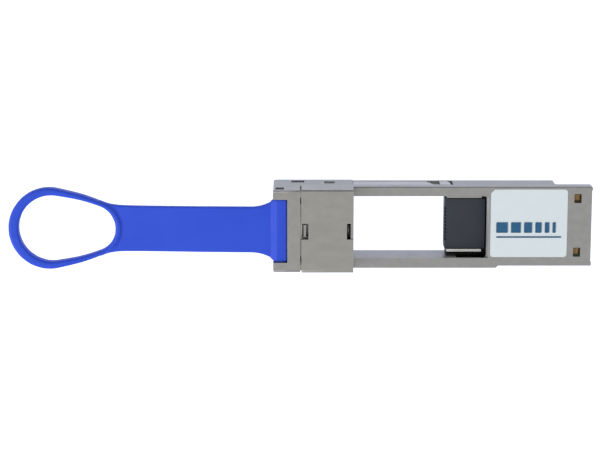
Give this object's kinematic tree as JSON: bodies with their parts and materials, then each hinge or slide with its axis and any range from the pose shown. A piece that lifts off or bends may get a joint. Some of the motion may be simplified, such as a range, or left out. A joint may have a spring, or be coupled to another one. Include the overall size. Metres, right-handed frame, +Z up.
{
  "type": "optical transceiver module",
  "caption": "Pluggable network adapter module with a host card edge, an open front port for a small transceiver and a flexible pull tab that works the side latches.",
  "frame": {"origin": "bottom centre of the whole part's bounding box", "axes": "+X towards the host plug, -X towards the pull loop, +Z up on the label side, +Y on the left side seen from the pull loop"},
  "size_m": [0.132, 0.0191, 0.0147],
  "materials": {
    "die_cast": "satin nickel-plated zinc casting",
    "bezel_metal": "satin nickel-plated zinc casting",
    "steel_sheet": "nickel-plated sheet steel",
    "spring_steel": "bright spring wire",
    "screw_steel": "dark plated steel",
    "tab_blue": "soft moulded elastomer, blue",
    "board_green": "solder-masked circuit board",
    "gold": "gold plate",
    "connector_slate": "moulded slate-coloured plastic",
    "chip_black": "moulded chip package",
    "capacitor_tan": "ceramic",
    "resistor_black": "ceramic with dark coating",
    "ferrite": "ferrite",
    "gasket_grey": "conductive rubber",
    "label_paper": "printed film"
  },
  "bodies": {
    "housing_body": {"main_housing": "die_cast", "lower_shell": "die_cast", "shell_screws": "screw_steel", "front_bezel": "bezel_metal", "bezel_dowels": "screw_steel", "head_cover": "steel_sheet", "throat_liner": "steel_sheet", "shielding_fingers": "spring_steel", "return_spring_left": "spring_steel", "return_spring_right": "spring_steel", "paddle_card": "board_green", "host_pads_top": "gold", "host_pads_bottom": "gold", "port_connector": "connector_slate", "port_contacts_upper": "gold", "port_contacts_lower": "gold", "controller_chip": "chip_black", "memory_chip": "chip_black", "memory_leads": "spring_steel", "power_inductors": "ferrite", "ground_clips": "gold", "capacitors": "capacitor_tan", "resistors": "resistor_black", "seam_gasket_left": "gasket_grey", "seam_gasket_right": "gasket_grey", "label": "label_paper"},
    "latch_tongue_body": {"latch_tongue": "spring_steel"},
    "slider_body": {"latch_slider": "steel_sheet", "pull_tab_head": "tab_blue"},
    "loop_body": {"pull_tab_loop": "tab_blue"}
  },
  "joints": [
    {"name": "latch_pull", "type": "slide", "parent": "housing_body", "child": "slider_body", "axis": [-1, 0, 0], "range_m": [0, 0.002], "stiffness_N_per_m": 1500, "springref_m": -0.001, "deforming": ["return_spring_left", "return_spring_right"]},
    {"name": "latch_tongue_flex", "type": "hinge", "parent": "housing_body", "child": "latch_tongue_body", "pos_m": [0.0058, 0, 0.00063], "axis": [0, -1, 0], "range_deg": [0, 2], "stiffness_Nm_per_rad": 0.5},
    {"name": "tab_flex", "type": "hinge", "parent": "slider_body", "child": "loop_body", "pos_m": [-0.0232, 0, 0.0117], "axis": [0, 1, 0], "range_deg": [-10, 45], "stiffness_Nm_per_rad": 0.02}
  ]
}
